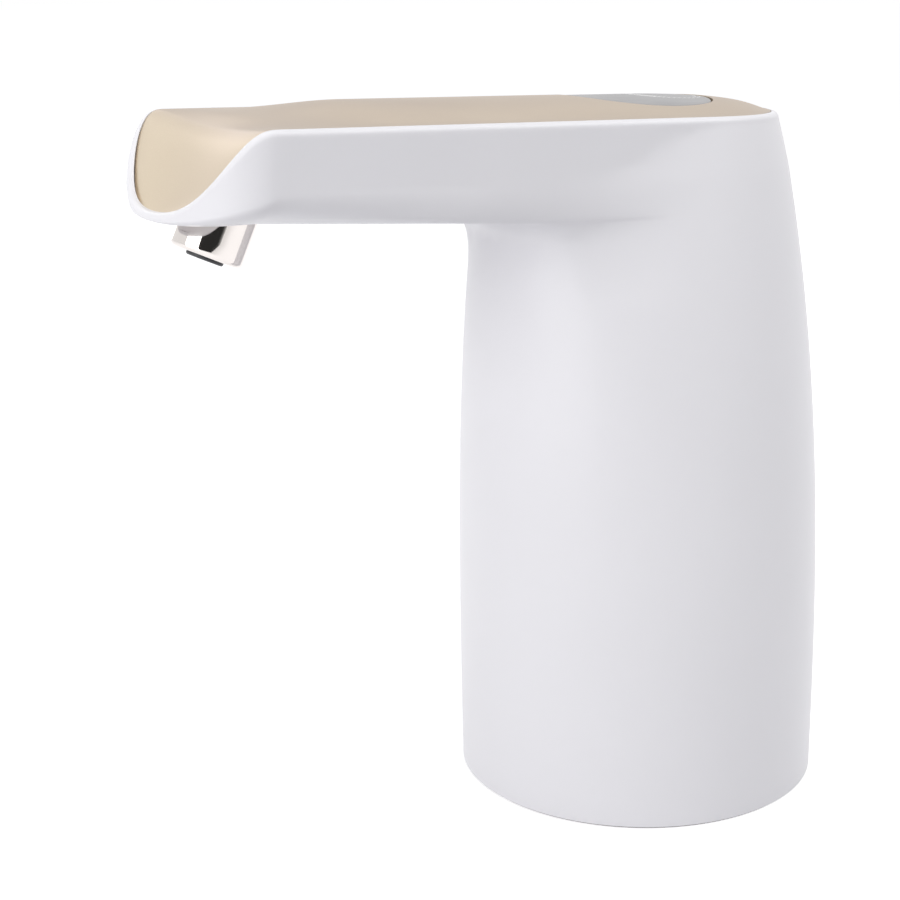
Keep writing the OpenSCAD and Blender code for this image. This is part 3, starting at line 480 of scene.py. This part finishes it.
# fills the valleys at the spout's root like a skin: each outer point there moves towards the mean
# of its four neighbours, again and again, by a share that fades along x and z and towards the middle
def relaxRoot(rings):
    x, y, z = np.moveaxis(rings, -1, 0)
    ahead = fadedWithin(-x, *h["relaxX"], h["relaxFade"], h["relaxFade"])
    beside = smooth((np.abs(y) - h["relaxY"][0]) / (h["relaxY"][1] - h["relaxY"][0]))
    tall = fadedWithin(z, *h["relaxZ"], h["relaxFade"], h["relaxTopFade"])
    share = (ahead * beside * tall)[..., None]
    share[h["outerRings"]:] = 0
    share[0] = 0
    for _ in range(h["relaxRounds"]):
        along = np.roll(rings, 1, 0) + np.roll(rings, -1, 0)
        mean = (along + np.roll(rings, 1, 1) + np.roll(rings, -1, 1)) / 4
        rings = lerp(rings, mean, share)
    return rings


# upright round prisms at the given places
def rods(r, low, high, spots):
    return [prism(circle(r), low, high, shift=(x, y, 0)) for x, y in spots]


def makeHousing():
    rings = relaxRoot(housingRings())
    faces = gridFaces(*rings.shape[:2], loopRows=True, loopCols=True)
    piece = makePiece("housing", rings, faces, "housing", ["main_shell"], "white_plastic", h["sharp"])
    # three screw bosses, half in the wall
    bossAt = sideR(h["bossHigh"]) - h["wall"] - h["bossR"] + h["bossSink"]
    spots = [(bossAt * math.cos(a), bossAt * math.sin(a)) for a in np.radians(h["bossTurns"])]
    carve(piece, rods(h["bossR"], h["bossLow"], h["bossHigh"], spots), "UNION")
    holes = rods(h["bossHole"], h["bossLow"] - 1, h["bossHoleHigh"], spots)
    # charging slot with round ends: the prism's own x, y, z lie along the object's y, z, x
    low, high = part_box("usb_socket")
    halfW = (high.y - low.y) / 2 / mm + h["slotMargin"]
    halfH = (high.z - low.z) / 2 / mm + h["slotMargin"]
    rounded = circle(halfH)
    rounded[:, 0] += np.sign(rounded[:, 0]) * (halfW - halfH)
    turn = np.array([[0, 0, 1], [1, 0, 0], [0, 1, 0]], float)
    slot = prism(rounded, low.x / mm, h["baseR"], turn, (0, 0, (low.z + high.z) / 2 / mm))
    carve(piece, holes + [slot], "DIFFERENCE")
    return piece


shell = makeHousing()


# Button outline: a circle, set back a little from the body's axis

button = dict(x=-2, r=15.7, gap=0.3, sink=0.1, thick=2.6, edge=0.5, points=160, edgeRows=6, faceRows=18,
              stemX=1.5, stemR=2, stemLow=138.4, stemSink=1,
              inlayX=5.2, inlayR=6.6, inlayW=1.1, inlayT=0.6)


def buttonOutline(offset):
    return circle(button["r"] + offset, button["points"]) + np.array([button["x"], 0])


# Gold panel: rows across the top, from the rear to the nose, crowned over the body and dished there

panel = dict(gap=0.15, crown=2.8, bell=1.4, dish=2.5, recess=0.8, crownRun=28, dishRun=14,
             across=64, endRows=49, straightRows=90, firstTurn=0.5, windowLow=6, windowHigh=8,
             postY=18.5, postR=2.4, postLow=134, holeR=0.8, holeHigh=139)
panelW = spoutW - h["lip"] - panel["gap"]
panelNose = h["noseLen"] - h["lip"] - panel["gap"]


def panelCrown(x):
    over = smooth((x + h["spoutX"]) / panel["crownRun"])
    scoop = smooth((-x - h["spoutX"] + panel["dishRun"] / 2) / panel["dishRun"])
    return panel["crown"] * over - panel["dish"] * scoop


# the crown's share across the panel, 1 in the middle and flat at the edges
def bell(t):
    return (1 - t * t) ** panel["bell"]


def makePanel():
    rearTurn = np.radians(np.linspace(panel["firstTurn"], 90, panel["endRows"]))
    noseTurn = np.radians(np.linspace(90, panel["firstTurn"], panel["endRows"]))
    straight = -np.linspace(0, h["spoutX"], panel["straightRows"])[1:-1]
    noseX = -h["spoutX"] - panelNose * np.cos(noseTurn)
    x = np.concatenate([panelW * np.cos(rearTurn), straight, noseX])
    share = np.concatenate([np.sin(rearTurn), np.ones(len(straight)), np.sin(noseTurn)])
    half = panelW * share
    flatRows = np.zeros(len(rearTurn) + len(straight))
    c = np.concatenate([flatRows, np.maximum(0, np.cos(noseTurn))])
    t = np.sin(np.linspace(-np.pi / 2, np.pi / 2, panel["across"] + 1))[None, :]
    y = half[:, None] * t
    z = rimZ(x, c)[:, None] + panelCrown(x)[:, None] * bell(t) * half[:, None] / panelW
    xx = np.broadcast_to(x[:, None], y.shape)
    # round the scoop the gold lies below the lip
    top = np.stack([xx, y, z - panel["recess"] * smooth(c)[:, None]], -1)
    under = np.stack([xx, y, z - h["panelT"]], -1)
    # each row runs over the top and back under
    loop = np.concatenate([top, under[:, ::-1]], 1)
    faces = gridFaces(*loop.shape[:2], loopCols=True).tolist()
    cols = loop.shape[1]
    last = (len(x) - 1) * cols
    ends = [list(range(cols)), list(range(last, last + cols))]
    piece = makePiece("gold_panel", loop, faces + ends, "housing", ["top_panel"], "gold_panel")
    # two posts carry the button's board
    spots = [(button["stemX"], side * panel["postY"]) for side in (-1, 1)]
    carve(piece, rods(panel["postR"], panel["postLow"], h["bodyH"], spots), "UNION")
    holes = rods(panel["holeR"], panel["postLow"] - 1, panel["holeHigh"], spots)
    windowLow = h["bodyH"] - panel["windowLow"]
    windowHigh = h["bodyH"] + panel["windowHigh"]
    window = prism(buttonOutline(button["gap"]), windowLow, windowHigh)
    carve(piece, holes + [window], "DIFFERENCE")


makePanel()


# the button's face follows the panel's crown
def buttonZ(x, y):
    half = np.sqrt(panelW ** 2 - np.maximum(0, x) ** 2)
    return rimZ(x, 0) + panelCrown(x) * bell(y / half) * half / panelW - button["sink"]


# rings of an outline, each shrunk about a centre by its share and set off the button's face
def plateRings(outline, centre, steps):
    share, off = np.array(steps, float).T
    flat = centre + (outline - centre) * share[:, None, None]
    z = buttonZ(flat[..., 0], flat[..., 1]) + off[:, None]
    return np.concatenate([flat, z[..., None]], -1)


def makeButton():
    b = button
    centre = np.array([b["x"], 0.0])
    steps = [(1.0, -b["thick"])]
    for a in quarterTurn(b["edgeRows"]):
        steps.append((1 - b["edge"] * (1 - np.cos(a)) / b["r"], -b["edge"] * (1 - np.sin(a))))
    steps += [(share, 0.0) for share in np.linspace(steps[-1][0], 0, b["faceRows"])[1:]]
    rows = plateRings(buttonOutline(0), centre, steps)
    faces = gridFaces(*rows.shape[:2], loopCols=True).tolist()
    faces.append(list(range(rows.shape[1])))
    plate = makePiece("button_plate", rows, faces, "button", ["power_button"], "button_grey")
    # the stem reaches down to the switch
    stemHigh = buttonZ(b["stemX"], 0) - b["stemSink"]
    carve(plate, rods(b["stemR"], b["stemLow"], stemHigh, [(b["stemX"], 0)]), "UNION")
    # the light ring lies flush in a groove of its own shape
    outer = b["inlayR"] + b["inlayW"]
    inner = b["inlayR"] / outer
    middle = np.array([b["inlayX"], 0.0])
    steps = [(1, -b["inlayT"]), (1, 0), (inner, 0), (inner, -b["inlayT"])]
    rows = plateRings(circle(outer) + middle, middle, steps)
    faces = gridFaces(*rows.shape[:2], loopRows=True, loopCols=True)
    carve(plate, [(rows.reshape(-1, 3), faces)], "DIFFERENCE")
    makePiece("light_ring", rows, faces, "button", ["button_inlay"], "inlay_white")


makeButton()


# Nozzle: a turned profile round the tilted axis, cut along the spout's underside, with a neck

nozzle = dict(x=-97.9, z=121.9, tilt=25, r=6.95, wall=2, lipR=1, depth=3, sink=0.1, points=120,
              lipRows=13, wallShares=(0.3, 0.65, 1.0), neckR=4.5, neckGap=0.15, boreR=1.8, top=16.32)
nozzleTilt = math.radians(nozzle["tilt"])
nozzleTurn = np.array([[math.cos(nozzleTilt), 0, math.sin(nozzleTilt)], [0, 1, 0],
                       [-math.sin(nozzleTilt), 0, math.cos(nozzleTilt)]])
nozzlePlace = np.array([nozzle["x"], 0, nozzle["z"]])
nozzleAxis = nozzleTurn @ np.array([0, 0, 1.0])


# circles of the given radii at the given heights along the nozzle's axis
def nozzleTurned(radius, height):
    flat = circle(1, nozzle["points"]) * np.asarray(radius)[:, None, None]
    tall = np.broadcast_to(np.asarray(height, float)[:, None, None], (*flat.shape[:2], 1))
    return np.concatenate([flat, tall], -1) @ nozzleTurn.T + nozzlePlace


# how far along the nozzle's axis each point is from the spout's underside
def toUnderside(points):
    slope = h["underRise"] - 2 * h["underBend"] * (-nozzle["x"] - frontRoot)
    gap = underZ(points[..., 0]) + nozzle["sink"] - points[..., 2]
    return (gap / (nozzleAxis[2] + slope * nozzleAxis[0]))[..., None] * nozzleAxis


def makeNozzle():
    n = nozzle
    lip = np.radians(np.linspace(0, 180, n["lipRows"]))
    lipMid = n["r"] - n["lipR"]
    boreAndSeat = [n["boreR"], n["boreR"], n["r"] - n["wall"]]
    r = np.concatenate([boreAndSeat, lipMid - n["lipR"] * np.cos(lip)])
    z = np.concatenate([[n["top"], n["depth"], n["depth"]], n["lipR"] * (1 - np.sin(lip))])
    rows = nozzleTurned(r, z)
    wall = rows[-1] + toUnderside(rows[-1]) * np.array(n["wallShares"])[:, None, None]
    neck = nozzleTurned([n["neckR"]], [0])
    neckTop = nozzleTurned([n["neckR"]], [n["top"]])
    rows = np.concatenate([rows, wall, neck + toUnderside(neck), neckTop])
    faces = gridFaces(*rows.shape[:2], loopRows=True, loopCols=True)
    makePiece("chrome_nozzle", rows, faces, "housing", ["outlet_nozzle"], "chrome")
    passage = prism(circle(n["neckR"] + n["neckGap"]), 0, n["top"], nozzleTurn, nozzlePlace)
    carve(shell, [passage], "DIFFERENCE")


makeNozzle()


# Spray insert: a turned plug in the nozzle's mouth, its end just proud of the lip, with fine holes

insert = dict(seatR=4.95, plugR=3.6, plugLow=-0.6, round=0.4, seatLow=0.6, high=3, boreR=1.8,
              roundRows=7, holeR=0.4, holeAt=2.7, holes=8, holePoints=24)


def makeInsert():
    k = insert
    turn = quarterTurn(k["roundRows"])
    roundR = k["plugR"] - k["round"] + k["round"] * np.sin(turn)
    roundZ = k["plugLow"] + k["round"] * (1 - np.cos(turn))
    r = np.concatenate([[k["boreR"], k["boreR"]], roundR, [k["plugR"], k["seatR"], k["seatR"]]])
    z = np.concatenate([[k["high"], k["plugLow"]], roundZ, [k["seatLow"], k["seatLow"], k["high"]]])
    rows = nozzleTurned(r, z)
    faces = gridFaces(*rows.shape[:2], loopRows=True, loopCols=True)
    piece = makePiece("spray_insert", rows, faces, "housing", ["nozzle_insert"], "black_plastic")
    holes = []
    for spot in circle(k["holeAt"], k["holes"]):
        outline = circle(k["holeR"], k["holePoints"]) + spot
        holes.append(prism(outline, k["plugLow"] - 1, k["high"] + 1, nozzleTurn, nozzlePlace))
    carve(piece, holes, "DIFFERENCE")


makeInsert()


# Studio: a pale floor, soft lamps and a white world; a lamp has its place, size and power

studio = dict(floorTone=(205, 205, 207), floorGlow=0.7, floorHalf=6.0, worldLight=0.5,
              aim=(-0.03, 0, 0.08),
              lamps=[("left", (-0.8, -0.2, 0.25), 0.6, 3.6), ("right", (0.5, -0.45, 0.85), 0.6, 3.7),
                     ("top", (-0.05, 0.05, 0.95), 0.8, 1.9), ("back", (0, 0.9, 0.28), 0.4, 0.5)],
              dimSide=(-0.42, -0.87, 0.26), dimFrom=0.72, dimTo=0.9, dimShare=0.97)


# 1 for the rays that see the background itself or its reflection, 0 for those that light the object
def backgroundRay(paint):
    kinds = ("Camera", "Glossy", "Transmission")
    seen = [paint.node("ShaderNodeLightPath", out="Is " + kind + " Ray") for kind in kinds]
    total = seen[0] + seen[1] + seen[2]
    return paint.node("ShaderNodeMath", {"operation": "MINIMUM"}, {0: total, 1: 1.0})


def makeFloor():
    paint = Paint("studio floor")
    speck = paint.noise(0.02)
    tone = linear(studio["floorTone"])
    plain = paint.node("ShaderNodeBsdfDiffuse", {},
                       {"Color": paint.between(speck, tuple(c * 0.99 for c in tone), tone)})
    glow = paint.node("ShaderNodeEmission", {},
                      {"Color": (1, 1, 1, 1), "Strength": backgroundRay(paint) * studio["floorGlow"]})
    both = paint.node("ShaderNodeAddShader", {}, {0: plain, 1: glow})
    paint.tree.links.new(both.socket, paint.output.inputs["Surface"])
    half = studio["floorHalf"]
    corners = [(-half, -half, 0), (half, -half, 0), (half, half, 0), (-half, half, 0)]
    mesh = bpy.data.meshes.new("floor")
    mesh.from_pydata(corners, [], [(0, 1, 2, 3)])
    mesh.materials.append(paint.material)
    floor = bpy.data.objects.new("floor", mesh)
    bpy.context.scene.collection.objects.link(floor)


def makeLight():
    world = bpy.data.worlds.new("studio")
    bpy.context.scene.world = world
    world.use_nodes = True
    paint = Paint("world", world.node_tree)
    # the room behind the camera is dim, which shows in the chrome alone
    way = paint.node("ShaderNodeTexCoord", out="Generated")
    near = paint.node("ShaderNodeVectorMath", {"operation": "DOT_PRODUCT"},
                      {0: way, 1: studio["dimSide"]}, out="Value")
    dim = paint.node("ShaderNodeMapRange", {"interpolation_type": "SMOOTHSTEP"},
                     {"Value": near, 1: studio["dimFrom"], 2: studio["dimTo"],
                      3: 0.0, 4: studio["dimShare"]})
    mirrored = paint.node("ShaderNodeLightPath", out="Is Glossy Ray")
    strength = lerp(studio["worldLight"], 1.0, backgroundRay(paint)) - mirrored * dim
    back = paint.node("ShaderNodeBackground", {}, {"Color": (1, 1, 1, 1), "Strength": strength})
    paint.tree.links.new(back.socket, paint.output.inputs["Surface"])
    aim = Vector(studio["aim"])
    for name, place, size, power in studio["lamps"]:
        lamp = bpy.data.lights.new(name, "AREA")
        lamp.size = size
        lamp.energy = power
        thing = bpy.data.objects.new(name, lamp)
        thing.location = place
        thing.rotation_euler = (aim - Vector(place)).to_track_quat("-Z", "Y").to_euler()
        bpy.context.scene.collection.objects.link(thing)


makeFloor()
makeLight()
print("studio ready")


# Camera at the photograph's view: millimetres, degrees, and the focal length in pixels of the frame

view = dict(place=(-224.77, -311.29, 176.37), yaw=29.753, pitch=15.418, roll=-0.917,
            focal=1831.1, frame=900, sensor=36, nearClip=0.01)


def makeCamera():
    yaw, pitch, roll = (math.radians(view[k]) for k in ("yaw", "pitch", "roll"))
    level = math.cos(pitch)
    ahead = Vector((math.sin(yaw) * level, math.cos(yaw) * level, -math.sin(pitch)))
    across = Vector((math.cos(yaw), -math.sin(yaw), 0))
    above = across.cross(ahead)
    right = across * math.cos(roll) + above * math.sin(roll)
    up = right.cross(ahead)
    lens = bpy.data.cameras.new("camera")
    lens.sensor_width = view["sensor"]
    lens.lens = view["focal"] / view["frame"] * lens.sensor_width
    lens.clip_start = view["nearClip"]
    camera = bpy.data.objects.new("camera", lens)
    camera.matrix_world = Matrix((
        (right.x, up.x, -ahead.x, view["place"][0] * mm),
        (right.y, up.y, -ahead.y, view["place"][1] * mm),
        (right.z, up.z, -ahead.z, view["place"][2] * mm),
        (0, 0, 0, 1)))
    bpy.context.scene.collection.objects.link(camera)
    bpy.context.scene.camera = camera


makeCamera()
bpy.context.scene.view_settings.view_transform = "Standard"
